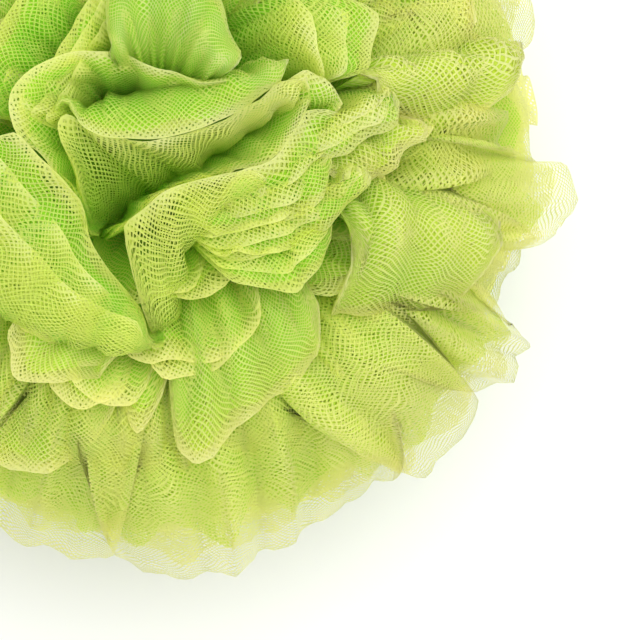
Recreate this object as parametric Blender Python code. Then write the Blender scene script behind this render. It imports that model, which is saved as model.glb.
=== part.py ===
"""Bath pouf: one long tube of fine netting, gathered and tied round its middle.

The ruffles stand out all round the tie and hide it. The pouf lies on its
pressed side, with the tie's plane level and the crown of ruffles on top.
"""

import math

import bmesh
import bpy
from mathutils import Vector

for item in list(bpy.data.objects):
    bpy.data.objects.remove(item, do_unlink=True)

MM = 0.001

# Driving sizes, in metres
POUF_RADIUS = 70 * MM         # ruffle tips lie on this radius, a few reach past it
CROWN_HEIGHT = 56 * MM        # from the tie's plane to the top ruffles
BELLY_DEPTH = 52 * MM         # from the tie's plane to the lowest ruffles before they are pressed
PRESSED = 6 * MM              # how much of the lowest ruffles the pouf's own weight flattens
RUFFLE_THICKNESS = 1.8 * MM   # a ruffle's netting with its wrinkles, as one wall
WAIST_RADIUS = 7 * MM         # the gathered netting inside the tie
HEART_RADIUS = 56 * MM        # the bunched netting above and below the tie
HEART_HEIGHT = 40 * MM
CROWN_DIP = 14 * MM           # hollow in its middle, under the cup
CORD_RADIUS = 1.5 * MM
CORD_CLEARANCE = 0.3 * MM
LOWER_TURN = math.radians(38)  # the lower ruffles sit between the upper ones

# The ruffles are drawn on a pouf of this radius and this crown, in millimetres
DRAWN_RADIUS = 70.0
DRAWN_CROWN = 56.0
SHOULDER_RADIUS = 74.0
SHOULDER_POWER = 2.2

CROWN_FACET = 7.0             # length of one facet along a lip, in drawn millimetres
SIDE_FACET = 13.0
UNDERSIDE_FACET = 1.7         # how much longer the facets are below
CROWN_STEPS = (0.0, 0.28, 0.58, 1.0)
SIDE_STEPS = (0.0, 0.42, 1.0)
ROOT_SHARE = 0.28             # how far a ruffle's root keeps from the axis, of its foot's distance
ROOT_HEIGHTS = (16.0, 0.18)   # root height on the axis, and how fast it drops outwards
CROWN_FLUTTER = 0.8           # a lip's rise and fall
SIDE_FLUTTER = 1.5
RIM_FLUTTER = 4.5
CURVE_SAMPLES = 80            # how finely a lip is measured
HEART_SIDES = 18
CORD_SIDES = 8
CORD_SIDES_ROUND = 24

# The heart's outline above the tie, as shares of its radius and of its height
HEART_OUTLINE = (
    (0.6, 0.05), (0.95, 0.1), (1.0, 0.25), (0.95, 0.46), (0.82, 0.7), (0.64, 0.93), (0.45, 1.0),
)
DIP_REACH = 0.22              # where the hollow in the crown's middle has its slope
DIP_SLOPE = 0.6

TIE_PLANE = BELLY_DEPTH - PRESSED
ACROSS = POUF_RADIUS / DRAWN_RADIUS
UPWARD = CROWN_HEIGHT / DRAWN_CROWN
DOWNWARD = BELLY_DEPTH / DRAWN_CROWN

# One ruffle is its lip, its foot where the fold turns in, and the share of the shoulder's
# height at both ends of the lip and of the foot. Seen from above, x to the right, y up.
EYE = {
    "cup": (
        [(19, 11.5), (9.5, 11), (3.5, 12.8), (-3.5, 15.3), (-10.5, 16.3), (-17, 14.6), (-22, 11),
         (-23.3, 7), (-22.4, 3.2), (-19.5, 0), (-15.3, -4.2), (-12, -8), (-10.5, -11), (-9.8, -15)],
        [(12, 9.5), (5, 9), (-3, 10), (-9, 10), (-12.5, 8), (-14, 4), (-12.5, 0), (-11, -5), (-9, -14)],
        (0.97, 0.93), (0.66, 0.6)),
    "cup_side": (
        [(-23.5, 7), (-22.4, 3.2), (-19.5, 0), (-15.3, -4.2), (-12, -8), (-10.5, -11),
         (-9.6, -15.5), (-6.5, -20.5), (-1, -27), (1.5, -30)],
        [(-37, -5), (-35, -15), (-30, -23), (-20, -29), (-10, -31.5), (-3, -31.5), (2.5, -31.5)],
        (0.98, 0.82), (0.72, 0.76)),
    "curl": (
        [(-16.8, 4.5), (-15.5, 7), (-13.5, 7.8), (-12, 6.3), (-11, 3.7), (-8.5, 2), (-5, 1.9),
         (-1.2, 5.5), (5.8, 7), (11, 9.3), (17, 12), (24.2, 15.3)],
        [(-14, 4), (-12, 5), (-9, 5), (-3, 6.5), (4, 8.5), (10, 10.5), (18, 13.5)],
        (0.95, 0.98), (0.6, 0.84)),
    "curl_face": (
        [(-11.5, 3.5), (-8.5, 2), (-5, 1.8), (-1, 5), (5.8, 6.8), (11, 9), (17, 11.8), (24.3, 15.2)],
        [(-9.5, -14), (-6, -11), (-2, -9), (3, -6), (7, -3), (11.5, 0.5), (15.5, 3.6), (20, 7.5), (25, 13.5)],
        (0.92, 0.98), (0.56, 0.96)),
    "tip": (
        [(24.5, 16), (28, 12.5), (30.7, 10.7), (34, 8)],
        [(20, 9), (25, 7), (29, 5)],
        (0.98, 0.95), (0.84, 0.84)),
    "scoop": (
        [(29.5, 9.5), (27, 7.3), (24.8, 3), (20.8, -2), (16.2, -3.6), (11, -4.9), (6, -6),
         (2.2, -7.8), (-1, -10.5), (-4.5, -13.2), (-7, -15.5)],
        [(26, 9), (23, 8.5), (19, 5), (15, 1.5), (11, -1.5), (5, -5), (-1, -8.5), (-7.5, -14.5)],
        (0.96, 0.9), (0.8, 0.54)),
    "scoop_stem": (
        [(12, -4.8), (8, -5.5), (4.5, -6.6), (2.2, -7.8), (-1, -10.5), (-4.5, -13.2), (-7, -15.5)],
        [(4.6, -22), (4.2, -26), (3.2, -29.3), (1.4, -31)],
        (0.96, 0.9), (0.76, 0.74)),
    "scoop_side": (
        [(29.5, 9.5), (27, 7.3), (24.8, 3), (20.8, -2), (16.2, -3.6), (11, -4.9)],
        [(30, 5), (28, 1), (25, -3), (20.5, -7), (15, -9.5), (8, -12)],
        (0.95, 0.96), (0.8, 0.76)),
    "back_fold": (
        [(-7, 16), (-6.7, 21), (-6.5, 27), (-3, 32), (4, 33.5), (10, 30), (12.5, 24), (14.5, 18), (18, 12.3)],
        [(-5, 13), (-2, 15), (4, 15), (11, 11)],
        (0.93, 0.97), (0.8, 0.82)),
    "left_fold": (
        [(-25, 3), (-19.5, 9.4), (-16, 15), (-12.5, 21), (-9, 27), (-6, 33)],
        [(-13, 3), (-9, 10), (-5, 17)],
        (0.88, 0.88), (0.74, 0.74)),
    "far_left_fold": (
        [(-33, 4), (-28.5, 14), (-25, 21), (-20.5, 27), (-14, 33)],
        [(-18, 4), (-14, 12), (-9, 20)],
        (0.86, 0.84), (0.66, 0.66)),
    "right_fold": (
        [(40, 27), (38.7, 21), (37.7, 16.5), (37, 12.8), (36.2, 9)],
        [(16, 26), (17, 20), (21, 14), (26, 10)],
        (0.9, 0.93), (0.72, 0.76)),
    "first_step": (
        [(7, -14.5), (13, -14.5), (19, -13), (26, -11.5), (29, -8.5), (31, -5), (33, -3)],
        [(4, -9), (12, -5), (20, -2), (27, 1)],
        (0.88, 0.92), (0.76, 0.8)),
    "second_step": (
        [(9, -19), (15.3, -19), (20.4, -17.9), (25.5, -16.2), (30.6, -12.8), (36.6, -6.8), (40.5, -4.5)],
        [(5, -12), (13, -9.5), (23, -7), (31, -2)],
        (0.85, 0.91), (0.72, 0.78)),
    "third_step": (
        [(10, -21.5), (15.3, -22.8), (20.4, -23.7), (25, -24.3), (27, -22), (29.5, -19), (31.5, -15.6)],
        [(6, -14), (14, -12), (23, -10), (28, -9)],
        (0.85, 0.88), (0.66, 0.72)),
    "ledge": (
        [(21, -6.5), (25.5, -3), (32.3, -1.4), (35.7, 0.9), (39.1, 2.4), (42.5, 4.6), (43.2, 8)],
        [(18, -1), (24, 3), (31, 7), (36, 10)],
        (0.9, 0.96), (0.78, 0.82)),
}

# The pressed side shows the simpler ones of the same ruffles
UNDERSIDE = (
    "cup", "cup_side", "scoop", "back_fold", "left_fold", "right_fold",
    "square_fold", "long_fold", "broad_fold", "barrel", "top_fold",
)

# Small ruffles that have no twin on the far side
ONCE = ("narrow_fold", "front_ledge")

SHOULDER = {
    "square_fold": (
        [(-25, -27), (-23.5, -34), (-22.4, -39), (-15, -39.3), (-8.5, -38.8), (-5, -35)],
        [(-15, -20), (-9, -25), (-3, -29)],
        (0.9, 0.86), (0.62, 0.6)),
    "long_fold": (
        [(-4.8, -34), (-5.2, -40), (-6.5, -45), (-12, -52), (-21, -55), (-33, -50)],
        [(-3, -29), (-10, -31), (-22, -31)],
        (0.78, 0.74), (0.5, 0.52)),
    "narrow_fold": (
        [(-5, -51), (-1.7, -48.5), (2, -46.2)],
        [(-5, -35), (0, -33), (4, -33)],
        (0.78, 0.86), (0.56, 0.6)),
    "broad_fold": (
        [(1.7, -46.5), (4.5, -50), (7.5, -53.5), (11.5, -51), (15.3, -46.8), (20.4, -42.5),
         (24, -40.5), (28, -35.5), (31, -30.5)],
        [(3, -31), (9, -27), (17, -25), (25, -22)],
        (0.84, 0.88), (0.6, 0.66)),
    "barrel": (
        [(27.5, -32), (31.5, -28.5), (37.4, -27.9), (42.5, -28.8), (48, -27), (55, -25)],
        [(33, -12), (39, -8), (46, -8.5), (56, -10.5)],
        (0.9, 0.9), (0.86, 0.84)),
    "front_ledge": (
        [(28, -6), (34, -5.8), (39.1, -5), (42, -2.4), (44.5, 0.3), (47, 2.5), (48.5, 6)],
        [(25, -2), (33, 2), (39, 5)],
        (0.88, 0.88), (0.76, 0.78)),
    "upper_barrel": (
        [(34, 8), (38.5, 6), (43, 5.2), (50, 4.5), (58, 5.5)],
        [(34, 12), (41, 14.2), (49.3, 15.3), (60, 18)],
        (0.93, 0.84), (0.86, 0.84)),
    "top_fold": (
        [(36, 42), (42, 36), (50, 31), (57, 25)],
        [(27, 29), (35, 24), (43, 19), (49, 16)],
        (0.8, 0.8), (0.62, 0.66)),
}

RIM = {
    "rim_1": (
        [(-42, -56), (-31, -63), (-22, -67), (-13, -70), (-5.5, -69.5)],
        [(-26, -34), (-14, -38), (-5, -41)],
        (0.3, 0.3), (0.52, 0.52)),
    "rim_2": (
        [(-7, -69), (-2, -72), (5, -73.4), (14, -72), (21, -68.7), (27, -64.8), (32, -61.7), (37, -58), (42, -55.5)],
        [(-6, -46), (4, -46), (14, -43), (24, -38), (34, -41)],
        (0.3, 0.25), (0.5, 0.54)),
    "rim_3": (
        [(41.5, -53), (44, -54.5), (47, -55.3), (50.5, -52.5), (54.5, -47.5), (56.5, -44), (56, -42)],
        [(26, -39), (32, -35), (38, -31)],
        (0.35, 0.3), (0.62, 0.62)),
    "rim_4": (
        [(55, -41.5), (60.4, -40), (63.5, -36.5), (64.6, -33), (62.5, -30.5), (58.7, -27.5)],
        [(38, -30), (42, -25), (42, -19)],
        (0.2, 0.3), (0.56, 0.56)),
    "rim_5": (
        [(58.5, -28), (60, -23.5), (63, -18.5), (66.5, -14)],
        [(42, -20), (44, -15), (44, -10)],
        (0.3, 0.3), (0.6, 0.6)),
    "rim_6": (
        [(64.5, -16), (70, -13), (72.6, -10.5), (72.8, -6.8), (71.7, -2.6), (66, -1.3), (60.5, -0.8)],
        [(44, -12), (45, -7), (45, -2)],
        (0.4, 0.3), (0.54, 0.54)),
    "rim_7": (
        [(60.5, -2), (60.5, 2.5), (60, 6.5), (57.5, 9.5), (60, 11), (62.2, 13), (61, 16.5)],
        [(44, -3), (45, 5), (44, 12), (42, 17)],
        (0.3, 0.3), (0.62, 0.56)),
    "rim_8": (
        [(60.5, 15.5), (64, 18), (66, 20.7), (65.5, 25), (60, 30)],
        [(42, 16), (43, 23), (39, 30)],
        (0.25, 0.3), (0.62, 0.62)),
    "rim_9": (
        [(60, 29), (62, 34), (57, 40), (54, 47), (46, 52), (41, 58)],
        [(40, 28), (37, 35), (32, 40), (27, 41)],
        (0.2, 0.3), (0.56, 0.56)),
}

# The folds that stand upright all round, between the upper and the lower rim
UPRIGHT_FOLDS = 15
UPRIGHT_REACH = 63.0
UPRIGHT_HALF_HEIGHT = 10.0
UPRIGHT_SLANT = math.radians(11)
UPRIGHT_ROOT_REACH = 10.6
UPRIGHT_ROOT = 10.0
UPRIGHT_ROOT_HALF = 2.5


def shoulder_height(x, y):
    """Height of the ruffles' outer surface above the tie's plane, in drawn millimetres."""
    reach = min(math.hypot(x, y) / SHOULDER_RADIUS, 0.98)
    return DRAWN_CROWN * math.sqrt(1 - reach ** SHOULDER_POWER)


def along(points, share):
    """Point on a smooth curve through the given points, share 0 to 1 from end to end."""
    place = share * (len(points) - 1)
    index = min(int(place), len(points) - 2)
    local = place - index
    before = points[max(index - 1, 0)]
    start, end = points[index], points[index + 1]
    after = points[min(index + 2, len(points) - 1)]
    return Vector(
        0.5 * (2 * b + (c - a) * local + (2 * a - 5 * b + 4 * c - d) * local ** 2
               + (3 * b - a - 3 * c + d) * local ** 3)
        for a, b, c, d in zip(before, start, end, after)
    )


def stations(points, count):
    """Points at even distances along the smooth curve."""
    dense = [along(points, step / CURVE_SAMPLES) for step in range(CURVE_SAMPLES + 1)]
    run = [0.0]
    for first, second in zip(dense, dense[1:]):
        run.append(run[-1] + (second - first).length)
    found = []
    for step in range(count + 1):
        wanted = run[-1] * step / count
        index = next((i for i in range(CURVE_SAMPLES) if run[i + 1] >= wanted), CURVE_SAMPLES - 1)
        share = (wanted - run[index]) / (run[index + 1] - run[index])
        found.append(dense[index].lerp(dense[index + 1], share))
    return found, run[-1]


def ruffle_rows(lip, foot, lip_shares, foot_shares, facet, fold_steps, flutter):
    """The ruffle's middle surface as rows of points, from its lip over its foot to its root."""
    _, length = stations(lip, 1)
    count = max(2, round(length / facet))
    lip_points, _ = stations(lip, count)
    foot_points, _ = stations(foot, count)
    rows = []
    for fold in fold_steps:
        row = []
        for step in range(count + 1):
            share = step / count
            rise = lip_shares[0] + (lip_shares[1] - lip_shares[0]) * share
            sink = foot_shares[0] + (foot_shares[1] - foot_shares[0]) * share
            lip_at, foot_at = lip_points[step], foot_points[step]
            outer = Vector((*lip_at, rise * shoulder_height(*lip_at) + flutter * (-1) ** step))
            middle = Vector((*foot_at, sink * shoulder_height(*foot_at)))
            reach = foot_at.length
            root = Vector((*(foot_at * ROOT_SHARE), ROOT_HEIGHTS[0] - ROOT_HEIGHTS[1] * reach))
            pull = 2 * middle - (outer + root) / 2
            row.append((1 - fold) ** 2 * outer + 2 * fold * (1 - fold) * pull + fold ** 2 * root)
        rows.append(row)
    return rows


def upright_rows():
    """One upright fold: its lip crosses the tie's plane, its root stays above the tie."""
    rows = []
    for fold in SIDE_STEPS:
        row = []
        for step in (1, 0, -1):
            reach = UPRIGHT_REACH * (1 - fold) + UPRIGHT_ROOT_REACH * fold
            turn = UPRIGHT_SLANT * step * (1 - fold)
            height = UPRIGHT_HALF_HEIGHT * step * (1 - fold) + (UPRIGHT_ROOT + UPRIGHT_ROOT_HALF * step) * fold
            row.append(Vector((reach * math.cos(turn), reach * math.sin(turn), height)))
        rows.append(row)
    return rows


def placed(point, turn, lower):
    """From the drawn pouf, in millimetres above the tie's plane, to the part's own place."""
    x = point.x * math.cos(turn) - point.y * math.sin(turn)
    y = point.x * math.sin(turn) + point.y * math.cos(turn)
    rise = -point.z * DOWNWARD if lower else point.z * UPWARD
    return Vector((x * ACROSS, y * ACROSS, TIE_PLANE + rise))


def wall(rows):
    """Closed wall of the ruffle's thickness round its middle surface."""
    high, wide = len(rows), len(rows[0])
    mesh = bmesh.new()
    sides = []
    normals = []
    for i in range(high):
        for j in range(wide):
            down = rows[min(i + 1, high - 1)][j] - rows[max(i - 1, 0)][j]
            across = rows[i][min(j + 1, wide - 1)] - rows[i][max(j - 1, 0)]
            normals.append(down.cross(across).normalized())
    for side in (0.5, -0.5):
        sides.append([
            mesh.verts.new(rows[i][j] + normals[i * wide + j] * RUFFLE_THICKNESS * side)
            for i in range(high) for j in range(wide)
        ])
    top, under = sides
    for i in range(high - 1):
        for j in range(wide - 1):
            a, b = i * wide + j, i * wide + j + 1
            c, d = b + wide, a + wide
            mesh.faces.new((top[a], top[b], top[c], top[d]))
            mesh.faces.new((under[d], under[c], under[b], under[a]))
    border = (
        list(range(wide))
        + [i * wide + wide - 1 for i in range(1, high)]
        + [(high - 1) * wide + j for j in range(wide - 2, -1, -1)]
        + [i * wide for i in range(high - 2, 0, -1)]
    )
    for first, second in zip(border, border[1:] + border[:1]):
        mesh.faces.new((top[second], top[first], under[first], under[second]))
    bmesh.ops.triangulate(mesh, faces=mesh.faces[:])
    bmesh.ops.recalc_face_normals(mesh, faces=mesh.faces[:])
    return mesh


def turned(name, profile, steps):
    """Closed body turned round the vertical axis from (radius, height) points."""
    mesh = bmesh.new()
    rings = []
    for radius, height in profile:
        if radius == 0:
            rings.append([mesh.verts.new((0, 0, height))])
            continue
        rings.append([
            mesh.verts.new((radius * math.cos(2 * math.pi * k / steps), radius * math.sin(2 * math.pi * k / steps), height))
            for k in range(steps)
        ])
    for lower, upper in zip(rings, rings[1:]):
        for k in range(steps):
            n = (k + 1) % steps
            if len(lower) == 1:
                mesh.faces.new((lower[0], upper[n], upper[k]))
            elif len(upper) == 1:
                mesh.faces.new((lower[k], lower[n], upper[0]))
            else:
                mesh.faces.new((lower[k], lower[n], upper[n], upper[k]))
    return new_object(name, mesh)


def new_object(name, mesh):
    data = bpy.data.meshes.new(name)
    mesh.to_mesh(data)
    mesh.free()
    thing = bpy.data.objects.new(name, data)
    bpy.context.scene.collection.objects.link(thing)
    return thing


def material(name, colour, roughness):
    made = bpy.data.materials.new(name)
    made.use_nodes = True
    shader = made.node_tree.nodes["Principled BSDF"]
    shader.inputs["Base Color"].default_value = (*colour, 1)
    shader.inputs["Roughness"].default_value = roughness
    shader.inputs["Metallic"].default_value = 0
    return made


def heart_profile():
    """The bunched netting: a waist inside the tie, and a full round above it and below."""
    groove = CORD_RADIUS + CORD_CLEARANCE
    upper = [(WAIST_RADIUS, groove)]
    for across, up in HEART_OUTLINE:
        upper.append((HEART_RADIUS * across, groove + (HEART_HEIGHT - groove) * up))
    upper.append((HEART_RADIUS * DIP_REACH, HEART_HEIGHT - CROWN_DIP * DIP_SLOPE))
    upper.append((0, HEART_HEIGHT - CROWN_DIP))
    lower = [(radius, -height) for radius, height in reversed(upper)]
    return [(radius, height + TIE_PLANE) for radius, height in lower + upper]


def gathered_ruffles():
    """The whole tube of netting: its heart with every ruffle joined on, pressed flat below."""
    heart = turned("mesh_ruffle", heart_profile(), HEART_SIDES)
    layout = [
        (EYE, (0,), CROWN_FACET, CROWN_STEPS, CROWN_FLUTTER),
        (SHOULDER, (0, math.pi), SIDE_FACET, SIDE_STEPS, SIDE_FLUTTER),
        (RIM, (0, math.pi), SIDE_FACET, SIDE_STEPS, RIM_FLUTTER),
    ]
    for group, turns, facet, fold_steps, flutter in layout:
        for name, (lip, foot, lip_shares, foot_shares) in group.items():
            lip = [Vector(point) for point in lip]
            foot = [Vector(point) for point in foot]
            for lower in (False, True):
                if lower and group is not RIM and name not in UNDERSIDE:
                    continue
                spacing = facet * UNDERSIDE_FACET if lower else facet
                rows = ruffle_rows(lip, foot, lip_shares, foot_shares, spacing, fold_steps, flutter)
                for turn in turns:
                    if turn and name in ONCE:
                        continue
                    whole_turn = turn + (LOWER_TURN if lower else 0)
                    moved = [[placed(point, whole_turn, lower) for point in row] for row in rows]
                    combine(heart, guide(f"{name}_wall", wall(moved)), "UNION")
    for k in range(UPRIGHT_FOLDS):
        rows = [[placed(point, 2 * math.pi * k / UPRIGHT_FOLDS, False) for point in row] for row in upright_rows()]
        combine(heart, guide("upright_wall", wall(rows)), "UNION")
    combine(heart, floor_block(), "DIFFERENCE")
    keep_outer_skin(heart)
    return heart


def keep_outer_skin(body):
    """Joins for good, and fills the small pockets that crossing ruffles shut in."""
    graph = bpy.context.evaluated_depsgraph_get()
    joined = bpy.data.meshes.new_from_object(body.evaluated_get(graph))
    body.modifiers.clear()
    mesh = bmesh.new()
    mesh.from_mesh(joined)
    left = set(mesh.verts)
    skins = []
    while left:
        reached = {left.pop()}
        edge_of_search = list(reached)
        while edge_of_search:
            found = {edge.other_vert(vert) for vert in edge_of_search for edge in vert.link_edges} - reached
            reached |= found
            edge_of_search = list(found)
        left -= reached
        skins.append(reached)
    outer = max(skins, key=len)
    bmesh.ops.delete(mesh, geom=[vert for vert in mesh.verts if vert not in outer], context="VERTS")
    mesh.to_mesh(joined)
    mesh.free()
    joined.name = body.name
    body.data = joined


def combine(body, tool, operation):
    step = body.modifiers.new(tool.name, "BOOLEAN")
    step.operation = operation
    step.object = tool
    step.solver = "MANIFOLD"


def guide(name, mesh):
    """A shape that only joins or cuts another one."""
    thing = new_object(name, mesh)
    thing.hide_render = True
    thing.display_type = "WIRE"
    return thing


def floor_block():
    """What lies under the pressed side."""
    mesh = bmesh.new()
    bmesh.ops.create_cube(mesh, size=1)
    side = 3 * POUF_RADIUS
    bmesh.ops.scale(mesh, vec=(side, side, BELLY_DEPTH), verts=mesh.verts[:])
    bmesh.ops.translate(mesh, vec=(0, 0, -BELLY_DEPTH / 2), verts=mesh.verts[:])
    return guide("pressed_side", mesh)


def tie_cord():
    """Ring of cord in the groove round the waist."""
    middle = WAIST_RADIUS + CORD_CLEARANCE + CORD_RADIUS
    mesh = bmesh.new()
    rings = []
    for k in range(CORD_SIDES_ROUND):
        turn = 2 * math.pi * k / CORD_SIDES_ROUND
        ring = []
        for m in range(CORD_SIDES):
            angle = 2 * math.pi * m / CORD_SIDES
            radius = middle + CORD_RADIUS * math.cos(angle)
            height = TIE_PLANE + CORD_RADIUS * math.sin(angle)
            ring.append(mesh.verts.new((radius * math.cos(turn), radius * math.sin(turn), height)))
        rings.append(ring)
    for ring, after in zip(rings, rings[1:] + rings[:1]):
        for m in range(CORD_SIDES):
            n = (m + 1) % CORD_SIDES
            mesh.faces.new((ring[m], after[m], after[n], ring[n]))
    return new_object("tie_cord", mesh)


ruffles = gathered_ruffles()
ruffles.data.materials.append(material("lime_netting", (0.62, 0.80, 0.22), 0.55))
tie = tie_cord()
tie.data.materials.append(material("lime_cord", (0.55, 0.74, 0.20), 0.6))
tie.data.shade_smooth()
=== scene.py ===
import math

import bpy
import numpy as np
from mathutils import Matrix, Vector


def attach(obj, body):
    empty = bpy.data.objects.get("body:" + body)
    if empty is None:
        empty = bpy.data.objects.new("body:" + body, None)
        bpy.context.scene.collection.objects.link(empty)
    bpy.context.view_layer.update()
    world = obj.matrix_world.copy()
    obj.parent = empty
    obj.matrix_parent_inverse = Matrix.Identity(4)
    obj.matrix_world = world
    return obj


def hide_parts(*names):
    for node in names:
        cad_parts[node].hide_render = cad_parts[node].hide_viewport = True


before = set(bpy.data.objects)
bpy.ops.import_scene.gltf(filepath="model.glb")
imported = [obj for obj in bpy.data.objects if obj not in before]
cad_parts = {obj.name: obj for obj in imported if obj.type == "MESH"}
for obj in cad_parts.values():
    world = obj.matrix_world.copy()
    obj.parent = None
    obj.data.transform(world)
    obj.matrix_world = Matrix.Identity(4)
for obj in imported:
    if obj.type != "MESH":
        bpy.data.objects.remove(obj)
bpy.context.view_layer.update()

# Camera. It looks straight down on the lower right part of the pouf through a long lens,
# so that the crown's cup lies in the upper left corner and the rim runs round below and right.
MM = 0.001
VIEW_CENTRE = (28.9 * MM, -28.9 * MM)
VIEW_WIDTH = 108.8 * MM
VIEW_HEIGHT = 76 * MM
LENS = 500.0
SENSOR = 36.0
SIGHT_END = 20.0

camera_data = bpy.data.cameras.new("camera")
camera_data.lens = LENS
camera_data.sensor_width = SENSOR
camera_data.clip_end = SIGHT_END
camera = bpy.data.objects.new("camera", camera_data)
camera.location = (*VIEW_CENTRE, VIEW_HEIGHT + VIEW_WIDTH * LENS / SENSOR)
bpy.context.scene.collection.objects.link(camera)
bpy.context.scene.camera = camera

# Heart. In the middle the whole tube of netting is bunched together round the tie, so thick
# that no light comes through. It is pleated from the tie outwards, above the tie and below it.
TIE_PLANE = 46.0
HEART_RADIUS = 51.0
HEART_HEIGHT = 33.0
HEART_OUTLINE = (
    (0.13, 0.05), (0.6, 0.06), (0.95, 0.1), (1.0, 0.25), (0.95, 0.46), (0.82, 0.7), (0.64, 0.93),
    (0.45, 0.99), (0.22, 0.79), (0.08, 0.67), (0.0, 0.65),
)
HEART_ROWS = 24
HEART_COLUMNS = 288
HEART_PLEATS = 31
HEART_PLEAT_DEPTH = 0.8
PLEAT_SWAYS = 5
PLEAT_SWAY = 1.3
CURVE_STEPS = 40
BUNCHED_WIDTH = 45.0
BUNCHED_ROW = 3.6
BUNCHED_SCALE = 0.3
BUNCHED_WANDER = 0.8
BUNCHED_RELIEF = 0.2 * MM
BUNCHED_LIGHT_THROUGH = 0.3
FLOOR_GAP = 0.4
FLOOR_SOFTNESS = 1.3
HEART_DEEP = (0.30, 0.76, 0.07)
HEART_PALE = (0.50, 0.86, 0.11)


def pressed(height):
    """The lowest netting lies flat on the floor under the pouf's own weight."""
    return FLOOR_GAP + FLOOR_SOFTNESS * np.logaddexp(0, (height - FLOOR_GAP) / FLOOR_SOFTNESS)


def evenly(points, count):
    """count + 1 points at even distances along a smooth curve through the given ones."""
    given = np.array(points, float)
    ends = np.vstack([given[:1], given, given[-1:]])
    place = np.linspace(0, len(given) - 1, CURVE_STEPS * (len(given) - 1) + 1)
    index = np.minimum(place.astype(int), len(given) - 2)
    local = (place - index)[:, None]
    a, b, c, d = ends[index], ends[index + 1], ends[index + 2], ends[index + 3]
    fine = 0.5 * (2 * b + (c - a) * local + (2 * a - 5 * b + 4 * c - d) * local ** 2
                  + (3 * b - a - 3 * c + d) * local ** 3)
    run = np.r_[0, np.cumsum(np.linalg.norm(np.diff(fine, axis=0), axis=1))]
    wanted = np.linspace(0, run[-1], count + 1)
    even = np.column_stack([np.interp(wanted, run, fine[:, n]) for n in range(given.shape[1])])
    return even, run[-1]


def cloth_piece(name, verts, faces, weave, **values):
    """A mesh piece from points in millimetres, its weave map, and named values for each point."""
    data = bpy.data.meshes.new(name)
    data.vertices.add(len(verts))
    data.vertices.foreach_set("co", (np.asarray(verts) * MM).ravel())
    data.loops.add(faces.size)
    data.loops.foreach_set("vertex_index", faces.ravel())
    data.polygons.add(len(faces))
    data.polygons.foreach_set("loop_start", np.arange(0, faces.size, 4))
    data.polygons.foreach_set("use_smooth", np.ones(len(faces), bool))
    data.update()
    for value, numbers in values.items():
        data.attributes.new(value, "FLOAT", "POINT").data.foreach_set("value", numbers)
    data.uv_layers.new(name="weave").data.foreach_set("uv", weave[faces.ravel()].ravel())
    data.validate()
    piece = bpy.data.objects.new(name, data)
    bpy.context.scene.collection.objects.link(piece)
    return piece


def grid_faces(rows, columns, first=0):
    """Faces between rows x columns points, numbered along each row."""
    corner = (np.arange(rows - 1)[:, None] * columns + np.arange(columns - 1)).ravel() + first
    return np.column_stack([corner, corner + 1, corner + columns + 1, corner + columns])


def bunched_material(name, deep, pale):
    """Many layers of the netting on each other: its rows of holes show only as darker spots."""
    made = bpy.data.materials.new(name)
    made.use_nodes = True
    nodes, links = made.node_tree.nodes, made.node_tree.links
    shader = nodes["Principled BSDF"]
    shader.inputs["Roughness"].default_value = 0.6
    shader.inputs["Specular IOR Level"].default_value = 0.2
    place = nodes.new("ShaderNodeUVMap")
    place.uv_map = "weave"
    rows = []
    for angle in (45, -45):
        turned = nodes.new("ShaderNodeMapping")
        turned.inputs["Rotation"].default_value = (0, 0, math.radians(angle))
        band = nodes.new("ShaderNodeTexWave")
        band.inputs["Scale"].default_value = BUNCHED_SCALE
        band.inputs["Distortion"].default_value = BUNCHED_WANDER
        band.inputs["Detail"].default_value = 1
        links.new(place.outputs["UV"], turned.inputs["Vector"])
        links.new(turned.outputs["Vector"], band.inputs["Vector"])
        rows.append(band)
    strands = nodes.new("ShaderNodeMath")
    strands.operation = "MAXIMUM"
    links.new(rows[0].outputs["Fac"], strands.inputs[0])
    links.new(rows[1].outputs["Fac"], strands.inputs[1])
    shade = nodes.new("ShaderNodeValToRGB")
    shade.color_ramp.elements[0].position = 0.45
    shade.color_ramp.elements[0].color = (*deep, 1)
    shade.color_ramp.elements[1].position = 0.95
    shade.color_ramp.elements[1].color = (*pale, 1)
    links.new(strands.outputs["Value"], shade.inputs["Fac"])
    links.new(shade.outputs["Color"], shader.inputs["Base Color"])
    relief = nodes.new("ShaderNodeBump")
    relief.inputs["Strength"].default_value = 0.5
    relief.inputs["Distance"].default_value = BUNCHED_RELIEF
    links.new(strands.outputs["Value"], relief.inputs["Height"])
    links.new(relief.outputs["Normal"], shader.inputs["Normal"])
    through = nodes.new("ShaderNodeBsdfTranslucent")
    links.new(shade.outputs["Color"], through.inputs["Color"])
    both = nodes.new("ShaderNodeMixShader")
    both.inputs["Fac"].default_value = BUNCHED_LIGHT_THROUGH
    links.new(shader.outputs["BSDF"], both.inputs[1])
    links.new(through.outputs["BSDF"], both.inputs[2])
    links.new(both.outputs["Shader"], nodes["Material Output"].inputs["Surface"])
    return made


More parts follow.
